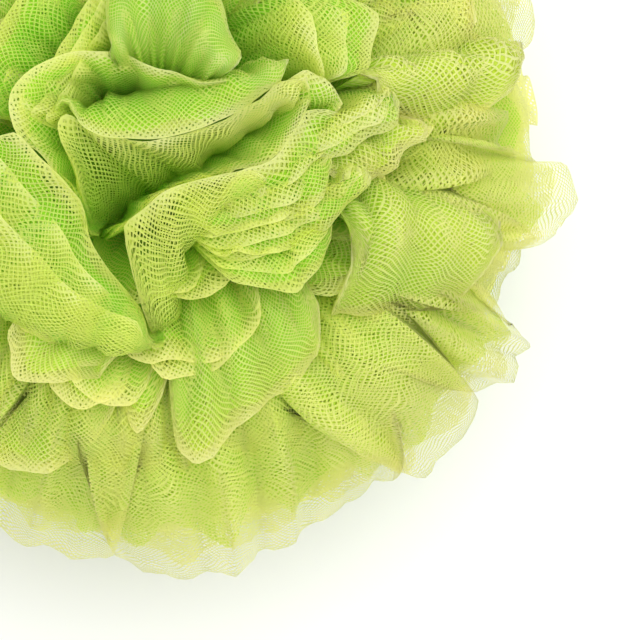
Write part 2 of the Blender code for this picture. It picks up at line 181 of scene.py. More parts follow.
half_outline, _ = evenly(HEART_OUTLINE, HEART_ROWS)
outline = np.vstack([half_outline[::-1] * (1, -1), half_outline])
around = np.linspace(0, 2 * math.pi, HEART_COLUMNS + 1)
reach = outline[:, :1] * HEART_RADIUS * np.ones_like(around)
pleat = np.sin(HEART_PLEATS * around + PLEAT_SWAY * np.sin(PLEAT_SWAYS * around)) * HEART_PLEAT_DEPTH
reach = reach + pleat * outline[:, :1]
rise = outline[:, 1:] * HEART_HEIGHT + pleat * outline[:, :1] * np.sign(outline[:, 1:])
heart_points = np.dstack([reach * np.cos(around), reach * np.sin(around), pressed(TIE_PLANE + rise)])
weave_down = np.arange(len(outline))[:, None] * BUNCHED_ROW
heart_weave = np.dstack([around * BUNCHED_WIDTH + 0 * reach, weave_down + 0 * reach])
heart = cloth_piece(
    "bunched_heart", heart_points.reshape(-1, 3), grid_faces(*heart_points.shape[:2]),
    heart_weave.reshape(-1, 2),
)
heart.data.materials.append(bunched_material("bunched_netting", HEART_DEEP, HEART_PALE))
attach(heart, "root")
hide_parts("mesh_ruffle")

# Crown ruffles. Each is a fold of the netting tube, so it has two layers of netting that meet
# at its lip, and stands up from the heart. They roll into a cup, a curl and a scoop at the middle.
SHOULDER_RADIUS = 74.0
SHOULDER_POWER = 2.2
SHOULDER_EDGE = 0.98
CROWN_HEIGHT = 56.0
BELLY_DEPTH = 52.0

# A fold's root at the tie, the waves of its lip and its rounded ends, in millimetres or shares.
ROOT_SHARE = 0.28
ROOT_TOP = 16.0
ROOT_SLOPE = 0.18
LIP_STEPS = 200
FOLD_STEPS = 80
LONG_WAVE = 26.0
LONG_WAVE_DRIFT = 9.0
SHORT_WAVE = 10.5
SHORT_WAVE_SHARE = 0.4
END_TAPER = 5.0
END_ROUNDING = 0.4
NEIGHBOUR = 0.004

# Pleats and finer creases that run down a fold, deepest halfway down.
PLEAT_LENGTH = 8.0
PLEAT_SHARPNESS = 0.92
PLEAT_WANDER = 1.5
CREASE_LENGTH = 3.3
CREASE_SHARPNESS = 0.9
CREASE_WANDER = 2.2
CREASE_LEAN = 3
CREASE_SHARE = 0.24
WANDER_LENGTH = 7.0
WANDER_DOWN = 0.7
WANDERS_DOWN = 5
UNEVEN_LENGTH = 5.3
UNEVEN_MEAN = 0.75
UNEVEN_SWING = 0.45
EDGE_PLEAT = 0.55
MIDDLE_PLEAT = 2.6
CALM_PLEATS = 0.35
FLUTTER_PLEATS = 0.5
DEEPEST_PLEATS = 1.7

# Where a layer of netting starts, and how it joins the next layer at the lip and at the ends.
RAGGED_SHARE = 0.35
RAGGED_LENGTH = 2.3
LIP_JOIN = 2.5
END_JOIN = 4.0
END_JOIN_LEAST = 0.2
LAYER_SHIFT = (7.3, 3.1)

# The net's cells and strands in millimetres, the drift of its rows, and where its colours change: painted
# shade that deepens below the lip and further inside the pouf.
CELL_LENGTH = 1.0
CELL_WIDTH = 0.92
STRAND = 0.15
INNER_STRAND = 0.22
KNOT_SIZE = 0.55
LIP_WIDTH = 0.25
CLOSE_BAND = 2.6
CLOSER = 0.13
DRIFT_SCALE = 0.16
WEAVE_DRIFT = 3.2
COLOUR_DRIFT = 0.3
DEEP_AT = 22.0
LIP_FADE = 0.08
LIP_FADE_END = 0.3
FACE_PLACE = 0.35
STRAND_RELIEF = 0.1 * MM
LIGHT_THROUGH = 0.6

CROWN_FACET = 1.1
# Colours from the lip to deep inside: paler at the lip as a painted highlight, darker and greener deeper in
# as painted shade.
LIP_COLOUR = (0.97, 0.97, 0.54)
FACE_COLOUR = (0.89, 0.94, 0.26)
DEEP_SHADE_COLOUR = (0.72, 0.94, 0.13)
# The inner layers are the same netting painted darker and greener, as painted shade between the layers.
INNER_LIP = (0.62, 0.87, 0.09)
INNER_FACE = (0.48, 0.84, 0.05)
INNER_DEEP_SHADE = (0.34, 0.80, 0.04)

# Each ruffle: its lip, its foot where the fold turns in, and the share of the shoulder's height
# at both ends of the lip and of the foot. Millimetres from above, x to the right, y up.
CROWN_RUFFLES = {
    "cup": (
        [(19, 11.5), (9.5, 11), (3.5, 12.8), (-3.5, 15.3), (-10.5, 16.3), (-17, 14.6), (-22, 11),
         (-23.3, 7), (-22.4, 3.2), (-19.5, 0), (-15.3, -4.2), (-12, -8), (-10.5, -11), (-9.8, -15)],
        [(12, 9.5), (5, 9), (-3, 10), (-9, 10), (-12.5, 8), (-14, 4), (-12.5, 0), (-11, -5), (-9, -14)],
        (0.97, 0.93), (0.78, 0.68)),
    "cup_side": (
        [(-23.5, 7), (-22.4, 3.2), (-19.5, 0), (-15.3, -4.2), (-12, -8), (-10.5, -11),
         (-9.6, -15.5), (-6.5, -20.5), (-1, -27), (1.5, -30)],
        [(-37, -5), (-35, -15), (-30, -23), (-20, -29), (-10, -31.5), (-3, -31.5), (2.5, -31.5)],
        (0.98, 0.82), (0.72, 0.76)),
    "curl": (
        [(-16.8, 4.5), (-15.8, 7), (-13.8, 7.6), (-12.2, 6), (-10.7, 3.4), (-7.5, 1.9), (-3.4, 1.5),
         (1.2, 1.4), (5.6, 2.2), (11.4, 4.1), (17, 7.2), (21.8, 10.7), (24.8, 14.5)],
        [(-14, 4), (-13, 5.5), (-11.5, 6.2), (-9, 6.5), (-5, 8), (0, 9.5), (6, 10.5), (12, 11.6),
         (17, 12.6), (21, 14)],
        (0.93, 0.98), (0.7, 0.88)),
    "curl_face": (
        [(-10.4, -8), (-12.2, -3.5), (-14.2, 0.5), (-15.2, 3.8), (-13.8, 5.6), (-11, 4), (-7.5, 1.8),
         (-3.4, 1.4), (1.2, 1.3), (5.6, 2.1), (11.4, 4), (17, 7.1), (21.8, 10.6), (24.8, 14.4)],
        [(-9, -14.5), (-8.5, -14.5), (-8, -13.5), (-7.2, -12), (-6, -10.5), (-4, -8.5), (-1, -6.6),
         (2, -5.6), (5, -4.4), (9, -2), (13, 0.6), (18, 4), (25.5, 9.4)],
        (0.9, 0.98), (0.56, 0.93)),
    "tip": (
        [(24.5, 16), (28, 12.5), (30.7, 10.7), (34, 8)],
        [(20, 9), (25, 7), (29, 5)],
        (0.98, 0.95), (0.84, 0.84)),
    "scoop": (
        [(29.5, 9.5), (27, 7.3), (24.8, 3), (20.8, -2), (16.2, -3.6), (11, -4.9), (6, -6),
         (2.2, -7.8), (-1, -10.5), (-4.5, -13.2), (-7, -15.5)],
        [(26, 9), (23, 8.5), (19, 5), (15, 1.5), (11, -1.5), (5, -5), (-1, -8.5), (-7.5, -14.5)],
        (0.96, 0.9), (0.8, 0.54)),
    "scoop_stem": (
        [(20.8, -2), (16.2, -3.6), (11, -4.9), (6, -6), (2.2, -7.8), (-1, -10.5), (-4.5, -13.2),
         (-7.5, -15.8)],
        [(18.5, -5.5), (13.5, -8.5), (8.5, -13.5), (5.6, -20), (4.6, -26), (3, -30), (1.4, -31)],
        (0.97, 0.9), (0.84, 0.76)),
    "scoop_side": (
        [(29.5, 9.5), (27, 7.3), (24.8, 3), (20.8, -2), (16.2, -3.6), (11, -4.9)],
        [(30, 5), (28, 1), (25, -3), (20.5, -7), (15, -9.5), (8, -12)],
        (0.95, 0.96), (0.8, 0.76)),
    "back_fold": (
        [(-7, 16), (-6.7, 21), (-6.5, 27), (-3, 32), (4, 33.5), (10, 30), (12.5, 24), (14.5, 18),
         (18, 12.3)],
        [(-5, 13), (-2, 15), (4, 15), (11, 11)],
        (0.93, 0.97), (0.9, 0.9)),
    "left_fold": (
        [(-25, 3), (-19.5, 9.4), (-16, 15), (-12.5, 21), (-9, 27), (-6, 33)],
        [(-13, 3), (-9, 10), (-5, 17)],
        (0.88, 0.88), (0.74, 0.74)),
    "far_left_fold": (
        [(-33, 4), (-28.5, 14), (-25, 21), (-20.5, 27), (-14, 33)],
        [(-18, 4), (-14, 12), (-9, 20)],
        (0.86, 0.84), (0.66, 0.66)),
    "right_fold": (
        [(40, 27), (38.7, 21), (37.7, 16.5), (37, 12.8), (36.2, 9)],
        [(16, 26), (17, 20), (21, 14), (26, 10)],
        (0.9, 0.93), (0.72, 0.76)),
    "first_step": (
        [(7, -14.5), (13, -14.5), (19, -13), (26, -11.5), (29, -8.5), (31, -5), (33, -3)],
        [(4, -9), (12, -5), (20, -2), (27, 1)],
        (0.88, 0.92), (0.76, 0.8)),
    "second_step": (
        [(9, -19), (15.3, -19), (20.4, -17.9), (25.5, -16.2), (30.6, -12.8), (36.6, -6.8), (40.5, -4.5)],
        [(5, -12), (13, -9.5), (23, -7), (31, -2)],
        (0.85, 0.91), (0.72, 0.78)),
    "third_step": (
        [(10, -21.5), (15.3, -22.8), (20.4, -23.7), (25, -24.3), (27, -22), (29.5, -19), (31.5, -15.6)],
        [(6, -14), (14, -12), (23, -10), (28, -9)],
        (0.85, 0.88), (0.66, 0.72)),
    "ledge": (
        [(21, -6.5), (25.5, -3), (32.3, -1.4), (35.7, 0.9), (39.1, 2.4), (42.5, 4.6), (43.2, 8)],
        [(18, -1), (24, 3), (31, 7), (36, 10)],
        (0.9, 0.96), (0.78, 0.82)),
}


def shoulder_height(x, y):
    """Height of the ruffles' outer surface above the tie's plane."""
    across = np.minimum(np.hypot(x, y) / SHOULDER_RADIUS, SHOULDER_EDGE)
    return CROWN_HEIGHT * np.sqrt(1 - across ** SHOULDER_POWER)


class Ruffle:
    """The middle surface of one fold of netting, and how long and deep it is."""

    def __init__(self, shape, flutter, turn=0.0, lower=False, seed=0, inset=0.0, drop=0.0,
                 taper=END_TAPER):
        lip, foot, self.lip_shares, self.foot_shares = shape
        self.taper = taper
        self.lip, self.length = evenly(lip, LIP_STEPS)
        self.foot, _ = evenly(foot, LIP_STEPS)
        self.lip = self.lip + (self.foot - self.lip) * inset
        self.flutter, self.turn, self.lower, self.drop = flutter, turn, lower, drop
        self.measure(seed)

    def measure(self, seed):
        """Draws the places of its waves and pleats, and runs a tape down its middle."""
        self.phases = np.random.default_rng(seed).uniform(0, 2 * math.pi, 8)
        self.fold = np.linspace(0, 1, FOLD_STEPS + 1)
        middle = self.bare(np.full(FOLD_STEPS + 1, 0.5), self.fold)
        self.run = np.r_[0, np.cumsum(np.linalg.norm(np.diff(middle, axis=0), axis=1))]

    def bare(self, across, fold):
        """Points of the smooth surface. across runs along the lip, fold from the lip to the root."""
        even = np.linspace(0, 1, LIP_STEPS + 1)
        lip_x, lip_y = (np.interp(across, even, self.lip[:, n]) for n in (0, 1))
        foot_x, foot_y = (np.interp(across, even, self.foot[:, n]) for n in (0, 1))
        rise = self.lip_shares[0] + (self.lip_shares[1] - self.lip_shares[0]) * across
        sink = self.foot_shares[0] + (self.foot_shares[1] - self.foot_shares[0]) * across
        run = across * self.length
        drift = np.sin(run / LONG_WAVE_DRIFT + self.phases[1])
        wave = np.sin(2 * math.pi * run / LONG_WAVE + self.phases[0] + drift)
        wave = wave + SHORT_WAVE_SHARE * np.sin(2 * math.pi * run / SHORT_WAVE + self.phases[7])
        height = rise * shoulder_height(lip_x, lip_y) + self.flutter * wave - self.drop
        outer = np.column_stack([lip_x, lip_y, height])
        middle = np.column_stack([foot_x, foot_y, sink * shoulder_height(foot_x, foot_y)])
        root_height = ROOT_TOP - ROOT_SLOPE * np.hypot(foot_x, foot_y)
        root = np.column_stack([foot_x * ROOT_SHARE, foot_y * ROOT_SHARE, root_height])
        pull = 2 * middle - (outer + root) / 2
        fold = fold[:, None]
        point = (1 - fold) ** 2 * outer + 2 * fold * (1 - fold) * pull + fold ** 2 * root
        cos, sin = math.cos(self.turn), math.sin(self.turn)
        down = -BELLY_DEPTH / CROWN_HEIGHT if self.lower else 1
        return np.column_stack([
            point[:, 0] * cos - point[:, 1] * sin, point[:, 0] * sin + point[:, 1] * cos,
            TIE_PLANE + point[:, 2] * down,
        ])

    def at(self, across, fold, offset):
        """Points of the surface, wrinkled, and moved off it by offset."""
        to_end = np.minimum(across, 1 - across) * self.length / self.taper
        fold = fold + (1 - fold) * END_ROUNDING * np.maximum(1 - to_end, 0) ** 2
        point = self.bare(across, fold)
        left, right = np.maximum(across - NEIGHBOUR, 0), np.minimum(across + NEIGHBOUR, 1)
        above, below = np.maximum(fold - NEIGHBOUR, 0), np.minimum(fold + NEIGHBOUR, 1)
        along = self.bare(right, fold) - self.bare(left, fold)
        inward = self.bare(across, below) - self.bare(across, above)
        out = np.cross(along, inward)
        out /= np.maximum(np.linalg.norm(out, axis=1), 1e-9)[:, None]
        run = across * self.length
        wander = np.sin(run / WANDER_LENGTH + self.phases[2])
        wander = wander + WANDER_DOWN * np.sin(fold * WANDERS_DOWN + self.phases[3])
        pleats = np.sin(2 * math.pi * run / PLEAT_LENGTH + PLEAT_WANDER * wander + self.phases[4])
        lean = CREASE_WANDER * wander + CREASE_LEAN * fold
        creases = np.sin(2 * math.pi * run / CREASE_LENGTH + lean + self.phases[5])
        uneven = UNEVEN_MEAN + UNEVEN_SWING * np.sin(run / UNEVEN_LENGTH + self.phases[6])
        crumple = min(DEEPEST_PLEATS, CALM_PLEATS + FLUTTER_PLEATS * self.flutter)
        depth = (EDGE_PLEAT + MIDDLE_PLEAT * fold * (1 - fold)) * uneven * crumple
        shift = depth * np.arcsin(PLEAT_SHARPNESS * pleats)
        shift = shift + CREASE_SHARE * depth * np.arcsin(CREASE_SHARPNESS * creases) + offset
        point = point + out * np.asarray(shift)[:, None]
        point[:, 2] = pressed(point[:, 2])
        return point


def net_layer(ruffle, start, end, offset, facet):
    """One layer of a ruffle's netting, from some millimetres below its lip to a share of its fold."""
    depth = np.interp(end, ruffle.fold, ruffle.run)
    columns = max(6, round(ruffle.length / facet))
    rows = max(4, round((depth - start) / facet))
    across, down = np.meshgrid(np.linspace(0, 1, columns + 1), np.linspace(0, 1, rows + 1))
    uneven = np.sin(across * ruffle.length / RAGGED_LENGTH + ruffle.phases[6] + 9 * offset)
    ragged = start * (1 + RAGGED_SHARE * uneven)
    run = (ragged + (depth - ragged) * down).ravel()
    across = across.ravel()
    to_end = np.minimum(across, 1 - across) * ruffle.length
    aside = offset * np.minimum(run / LIP_JOIN, 1) * np.minimum(END_JOIN_LEAST + to_end / END_JOIN, 1)
    points = ruffle.at(across, np.interp(run, ruffle.run, ruffle.fold), aside)
    weave = np.column_stack([
        across * ruffle.length + LAYER_SHIFT[0] * offset + ruffle.phases[7], run + LAYER_SHIFT[1] * offset,
    ])
    return points, grid_faces(rows + 1, columns + 1), weave, run


def depth_inside(points):
    """How many millimetres each point lies under the pouf's outer surface."""
    across = np.hypot(points[:, 0], points[:, 1]) / SHOULDER_RADIUS
    up = (points[:, 2] - TIE_PLANE) / np.where(points[:, 2] > TIE_PLANE, CROWN_HEIGHT, BELLY_DEPTH)
    return (1 - np.sqrt(across ** SHOULDER_POWER + up ** 2)) * CROWN_HEIGHT


def netting_material(name, lip, face, deep, strand):
    """Fine open netting of soft yarn: crossing strands with holes between them, close at the lip. Its
    colour is palest at the lip, a painted highlight, and darker green deeper inside the pouf, painted
    shade.
    """
    made = bpy.data.materials.new(name)
    made.use_nodes = True
    nodes, links = made.node_tree.nodes, made.node_tree.links

    def math_node(operation, first, second=None, third=None):
        node = nodes.new("ShaderNodeMath")
        node.operation = operation
        for socket, value in zip(node.inputs, (first, second, third)):
            if isinstance(value, (int, float)):
                socket.default_value = value
            elif value is not None:
                links.new(value, socket)
        return node.outputs["Value"]

    place = nodes.new("ShaderNodeUVMap")
    place.uv_map = "weave"
    drift = nodes.new("ShaderNodeTexNoise")
    drift.inputs["Scale"].default_value = DRIFT_SCALE
    drift.inputs["Detail"].default_value = 0
    links.new(place.outputs["UV"], drift.inputs["Vector"])
    shifted = nodes.new("ShaderNodeVectorMath")
    shifted.operation = "MULTIPLY_ADD"
    shifted.inputs[1].default_value = (WEAVE_DRIFT, WEAVE_DRIFT, 0)
    links.new(drift.outputs["Color"], shifted.inputs[0])
    links.new(place.outputs["UV"], shifted.inputs[2])
    apart = nodes.new("ShaderNodeSeparateXYZ")
    links.new(shifted.outputs["Vector"], apart.inputs["Vector"])
    along = math_node("DIVIDE", apart.outputs["X"], CELL_LENGTH)
    down = math_node("DIVIDE", apart.outputs["Y"], CELL_WIDTH)
    one = math_node("PINGPONG", math_node("ADD", along, down), 0.5)
    other = math_node("PINGPONG", math_node("SUBTRACT", along, down), 0.5)
    nearest = math_node("MINIMUM", one, other)
    knot = math_node("MULTIPLY", math_node("ADD", one, other), KNOT_SIZE)
    from_lip = nodes.new("ShaderNodeAttribute")
    from_lip.attribute_name = "from_lip"
    near_lip = math_node("MULTIPLY_ADD", from_lip.outputs["Fac"], -1 / CLOSE_BAND, 1)
    near_lip = math_node("MAXIMUM", near_lip, 0)
    width = math_node("MULTIPLY_ADD", near_lip, CLOSER, strand)
    yarn = math_node("LESS_THAN", math_node("MINIMUM", nearest, knot), width)
    folded_edge = math_node("LESS_THAN", from_lip.outputs["Fac"], LIP_WIDTH)
    solid = math_node("MAXIMUM", yarn, folded_edge)

    # Painted shade: the colour darkens with the depth under the pouf's outer surface and with the distance
    # below the lip, and is palest at the lip, a painted highlight. The drift adds random tone.
    inside = nodes.new("ShaderNodeAttribute")
    inside.attribute_name = "inside"
    shade_below_lip = math_node("MULTIPLY", from_lip.outputs["Fac"], LIP_FADE)
    shade_below_lip = math_node("MINIMUM", shade_below_lip, LIP_FADE_END)
    painted_shade_share = math_node("MULTIPLY_ADD", inside.outputs["Fac"], 1 / DEEP_AT, shade_below_lip)
    painted_shade_share = math_node("SUBTRACT", painted_shade_share, COLOUR_DRIFT / 2)
    share = math_node("MULTIPLY_ADD", drift.outputs["Fac"], COLOUR_DRIFT, painted_shade_share)
    ramp = nodes.new("ShaderNodeValToRGB")
    ramp.color_ramp.elements[0].color = (*lip, 1)
    ramp.color_ramp.elements[1].color = (*deep, 1)
    ramp.color_ramp.elements.new(FACE_PLACE).color = (*face, 1)
    links.new(share, ramp.inputs["Fac"])

    shader = nodes["Principled BSDF"]
    shader.inputs["Roughness"].default_value = 0.5
    shader.inputs["Specular IOR Level"].default_value = 0.3
    links.new(ramp.outputs["Color"], shader.inputs["Base Color"])
    relief = nodes.new("ShaderNodeBump")
    relief.inputs["Strength"].default_value = 0.6
    relief.inputs["Distance"].default_value = STRAND_RELIEF
    relief.invert = True
    links.new(nearest, relief.inputs["Height"])
    links.new(relief.outputs["Normal"], shader.inputs["Normal"])
    through = nodes.new("ShaderNodeBsdfTranslucent")
    links.new(ramp.outputs["Color"], through.inputs["Color"])
    strand_shader = nodes.new("ShaderNodeMixShader")
    strand_shader.inputs["Fac"].default_value = LIGHT_THROUGH
    links.new(shader.outputs["BSDF"], strand_shader.inputs[1])
    links.new(through.outputs["BSDF"], strand_shader.inputs[2])
    hole = nodes.new("ShaderNodeBsdfTransparent")
    net = nodes.new("ShaderNodeMixShader")
    links.new(solid, net.inputs["Fac"])
    links.new(hole.outputs["BSDF"], net.inputs[1])
    links.new(strand_shader.outputs["Shader"], net.inputs[2])
    links.new(net.outputs["Shader"], nodes["Material Output"].inputs["Surface"])
    return made


outer_netting = netting_material("outer_netting", LIP_COLOUR, FACE_COLOUR, DEEP_SHADE_COLOUR, STRAND)
# The inner netting is a darker copy of the outer netting: painted shade between the layers.
inner_netting = netting_material("inner_netting", INNER_LIP, INNER_FACE, INNER_DEEP_SHADE, INNER_STRAND)


def net_piece(name, ruffles, layers, end, facet, netting=outer_netting):
    """Netting of a group of ruffles, as one piece that rides on the pouf. layers are (start, offset).
    """
    facet = facet * 1
    points, faces, weaves, runs = [], [], [], []
    count, width, cut = 0, 0, 0
    for ruffle in ruffles:
        for start, offset in layers:
            layer_points, layer_faces, weave, run = net_layer(ruffle, start, end, offset, facet)
            points.append(layer_points)
            faces.append(layer_faces + count)
            weaves.append(weave)
            runs.append(run)
            count += len(layer_points)
            width += ruffle.length * MM
            cut += ruffle.length * (np.interp(end, ruffle.fold, ruffle.run) - start) * MM ** 2
    points = np.vstack(points)
    # from_lip and inside hold the distance below the lip and the depth inside the pouf, from which the
    # netting's colour paints shade.
    piece = cloth_piece(
        name, points, np.vstack(faces), np.vstack(weaves),
        from_lip=np.concatenate(runs), inside=depth_inside(points),
    )
    piece.data.materials.append(netting)
    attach(piece, "root")
    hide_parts("mesh_ruffle")


OPEN_FOLDS = ("scoop_stem", "curl_face")
DOUBLED_FOLDS = (
    "cup_side", "first_step", "second_step", "third_step", "ledge", "left_fold", "right_fold",
)
CROWN_FLUTTER = 0.5
BEHIND_FLUTTER = 0.8
BEHIND_INSET = 0.16
BEHIND_DROP = 2.5
BETWEEN_FLUTTER = 1.0
BETWEEN_PLACES = ((0.24, -1.0), (0.5, -1.4))
CROWN_OUTER = ((0, 0.6), (0, -0.6))
CROWN_INNER = ((2.0, 0.2), (5, -0.25))
CROWN_END = 0.8
CROWN_INNER_END = 0.85

crown_main = [Ruffle(shape, CROWN_FLUTTER, seed=n) for n, shape in enumerate(CROWN_RUFFLES.values())]
crown_behind = [
    Ruffle(shape, BEHIND_FLUTTER, seed=20 + n, inset=BEHIND_INSET, drop=BEHIND_DROP)
    for n, (name, shape) in enumerate(CROWN_RUFFLES.items()) if name not in OPEN_FOLDS
]
crown_between = [
    Ruffle(CROWN_RUFFLES[name], BETWEEN_FLUTTER, seed=700 + 9 * n + k, inset=inset, drop=drop)
    for n, name in enumerate(DOUBLED_FOLDS) for k, (inset, drop) in enumerate(BETWEEN_PLACES)
]
crown_closed = [fold for fold, name in zip(crown_main, CROWN_RUFFLES) if name not in OPEN_FOLDS]
net_piece("crown_netting", crown_main + crown_behind + crown_between, CROWN_OUTER, CROWN_END, CROWN_FACET)
net_piece(
    "crown_inner_netting", crown_closed + crown_behind, CROWN_INNER, CROWN_INNER_END, CROWN_FACET,
    inner_netting,
)

# Shoulder ruffles. Broader folds of the same netting stand round the crown and lean outwards, with
# short ones between them. The far side repeats them half a turn round, apart from two small ones.
SHOULDER_RUFFLES = {
    "square_fold": (
        [(-25, -27), (-23.5, -34), (-22.4, -39), (-15, -39.3), (-8.5, -38.8), (-5, -35)],
        [(-15, -20), (-9, -25), (-3, -29)],
        (0.85, 0.81), (0.66, 0.64)),
    "long_fold": (
        [(-4.8, -34), (-5.2, -40), (-6.5, -45), (-12, -52), (-21, -55), (-33, -50)],
        [(-3, -29), (-10, -31), (-22, -31)],
        (0.74, 0.7), (0.58, 0.58)),
    "narrow_fold": (
        [(-5, -51), (-1.7, -48.5), (2, -46.2)],
        [(-5, -35), (0, -33), (4, -33)],
        (0.76, 0.8), (0.62, 0.64)),
    "broad_fold": (
        [(1.7, -46.5), (4.5, -50), (7.5, -53.5), (11.5, -51), (15.3, -46.8), (20.4, -42.5),
         (24, -40.5), (28, -35.5), (31, -30.5)],
        [(3, -29), (8, -25), (15, -22), (24, -19)],
        (0.78, 0.82), (0.66, 0.7)),
    "barrel": (
        [(27.5, -32), (31.5, -28.5), (37.4, -27.9), (42.5, -28.8), (48, -27), (55, -25)],
        [(33, -12), (39, -8), (46, -8.5), (56, -10.5)],
        (0.74, 0.74), (0.86, 0.84)),
    "front_ledge": (
        [(28, -6), (34, -5.8), (39.1, -5), (42, -2.4), (44.5, 0.3), (47, 2.5), (48.5, 6)],
        [(25, -2), (33, 2), (39, 5)],
        (0.88, 0.88), (0.76, 0.78)),
    "upper_barrel": (
        [(34, 8), (38.5, 6), (43, 5.2), (50, 4.5), (58, 5.5)],
        [(34, 12), (41, 14.2), (49.3, 15.3), (60, 18)],
        (0.86, 0.74), (0.88, 0.86)),
    "top_fold": (
        [(36, 42), (42, 36), (50, 31), (57, 25)],
        [(27, 29), (35, 24), (43, 19), (49, 16)],
        (0.8, 0.8), (0.62, 0.66)),
}
NO_TWIN = ("narrow_fold", "front_ledge")

# The sides' netting is painted paler than the crown's, as painted light on the thin outer folds, with the
# same painted highlight at the lip and painted shade deeper in.
SIDE_LIP = (0.98, 0.97, 0.62)
SIDE_FACE = (0.98, 0.96, 0.42)
SIDE_DEEP_SHADE = (0.86, 0.95, 0.17)
# The sides' inner layers are painted darker in the same way, as painted shade between the layers.
SIDE_INNER_LIP = (0.88, 0.94, 0.22)
SIDE_INNER_FACE = (0.76, 0.92, 0.12)
SIDE_INNER_DEEP_SHADE = (0.44, 0.85, 0.06)
SHOULDER_OUTER = ((0, 0.6), (0, -0.6))
SHOULDER_INNER = ((3, 0.2), (8, -0.25))
SIDE_END = 0.66
SIDE_FACET = 1.25
SHOULDER_FLUTTER = 1.2
SIDE_BEHIND_FLUTTER = 1.5
SIDE_BEHIND_INSET = 0.2
SIDE_BEHIND_DROP = 3.0
SMALL_FOLDS = 26
SMALL_FOLD_FLUTTER = 1.0
SMALL_FOLD_REACHES = (24, 50)
SMALL_FOLD_SHARE = 0.8
SMALL_FOLD_TURN = 0.382
SMALL_FOLD_HALVES = (8, 13)
SMALL_FOLD_SKEW = 0.35
SMALL_FOLD_BULGE = 2.5
SMALL_FOLD_WOBBLE = 1.2
SMALL_FOOT_REACH = 0.72
SMALL_FOOT_IN = 3
SMALL_FOOT_WIDTH = 0.75
SMALL_FOOT_SHARE = 0.58


def small_folds(reaches, lip_share, seed, lower=False):
    """The many short folds that stand between the main ones, a little lower, round the pouf."""
    chance = np.random.default_rng(seed)
    folds = []
    for n in range(SMALL_FOLDS):
        turn = 2 * math.pi * (n + chance.uniform(-0.3, 0.3)) * SMALL_FOLD_TURN
        reach = chance.uniform(*reaches)
        half = chance.uniform(*SMALL_FOLD_HALVES)
        skew = chance.uniform(-SMALL_FOLD_SKEW, SMALL_FOLD_SKEW)
        lip, foot = [], []
        for step in (-1, -0.5, 0, 0.5, 1):
            wobble = chance.uniform(-SMALL_FOLD_WOBBLE, SMALL_FOLD_WOBBLE)
            out = reach + SMALL_FOLD_BULGE * math.cos(2 * step) + skew * half * step + wobble
            lip.append((out, half * step))
            foot.append((out * SMALL_FOOT_REACH - SMALL_FOOT_IN, half * step * SMALL_FOOT_WIDTH))
        shape = (lip, foot, (lip_share, lip_share), (SMALL_FOOT_SHARE, SMALL_FOOT_SHARE))
        folds.append(Ruffle(shape, SMALL_FOLD_FLUTTER, turn, lower, seed + n))
    return folds


shoulder = []
for n, (name, shape) in enumerate(SHOULDER_RUFFLES.items()):
    for turn in (0, math.pi):
        if not (turn and name in NO_TWIN):
            shoulder.append(Ruffle(shape, SHOULDER_FLUTTER, turn, seed=40 + n))
            shoulder.append(Ruffle(
                shape, SIDE_BEHIND_FLUTTER, turn, seed=60 + n, inset=SIDE_BEHIND_INSET,
                drop=SIDE_BEHIND_DROP,
            ))
shoulder += small_folds(SMALL_FOLD_REACHES, SMALL_FOLD_SHARE, 300)
side_netting = netting_material("side_netting", SIDE_LIP, SIDE_FACE, SIDE_DEEP_SHADE, STRAND)
side_inner_netting = netting_material(
    "side_inner_netting", SIDE_INNER_LIP, SIDE_INNER_FACE, SIDE_INNER_DEEP_SHADE, INNER_STRAND,
)
net_piece("shoulder_netting", shoulder, SHOULDER_OUTER, SIDE_END, SIDE_FACET, side_netting)
net_piece("shoulder_inner_netting", shoulder, SHOULDER_INNER, SIDE_END, SIDE_FACET, side_inner_netting)

# Rim ruffles. The outermost folds of the netting. Near their lips they are one layer, which light
# comes through, and the lips wave and make the pouf's outline.
RIM_RUFFLES = {
    "rim_1": (
        [(-42, -56), (-31, -63), (-22, -67), (-13, -70), (-5.5, -69.5)],
        [(-26, -34), (-14, -38), (-5, -41)],
        (0.55, 0.55), (0.68, 0.68)),
    "rim_2": (
        [(-7, -69), (-2, -72), (5, -73.4), (14, -72), (21, -68.7), (27, -64.8), (32, -61.7), (37, -58),
         (42, -55.5)],
        [(-6, -46), (4, -46), (14, -43), (24, -38), (34, -41)],
        (0.55, 0.5), (0.66, 0.7)),
    "rim_3": (
        [(41.5, -53), (44, -54.5), (47, -55.3), (50.5, -52.5), (54.5, -47.5), (56.5, -44), (56, -42)],
        [(26, -39), (32, -35), (38, -31)],
        (0.6, 0.55), (0.78, 0.78)),
    "rim_4": (
        [(55, -41.5), (60.4, -40), (63.5, -36.5), (64.6, -33), (62.5, -30.5), (58.7, -27.5)],
        [(38, -30), (42, -25), (42, -19)],
        (0.45, 0.55), (0.72, 0.72)),
    "rim_5": (
        [(58.5, -28), (60, -23.5), (63, -18.5), (66.5, -14)],
        [(42, -20), (44, -15), (44, -10)],
        (0.55, 0.55), (0.76, 0.76)),
    "rim_6": (
        [(64.5, -16), (70, -13), (72.6, -10.5), (72.8, -6.8), (71.7, -2.6), (66, -1.3), (60.5, -0.8)],
        [(44, -12), (45, -7), (45, -2)],
        (0.65, 0.55), (0.7, 0.7)),
    "rim_7": (
        [(60.5, -2), (60.5, 2.5), (60, 6.5), (57.5, 9.5), (60, 11), (62.2, 13), (61, 16.5)],
        [(44, -3), (45, 5), (44, 12), (42, 17)],
        (0.55, 0.55), (0.78, 0.72)),
    "rim_8": (
        [(60.5, 15.5), (64, 18), (66, 20.7), (65.5, 25), (60, 30)],
        [(42, 16), (43, 23), (39, 30)],
        (0.5, 0.55), (0.78, 0.78)),
    "rim_9": (
        [(60, 29), (62, 34), (57, 40), (54, 47), (46, 52), (41, 58)],
        [(40, 28), (37, 35), (32, 40), (27, 41)],
        (0.45, 0.55), (0.72, 0.72)),
}

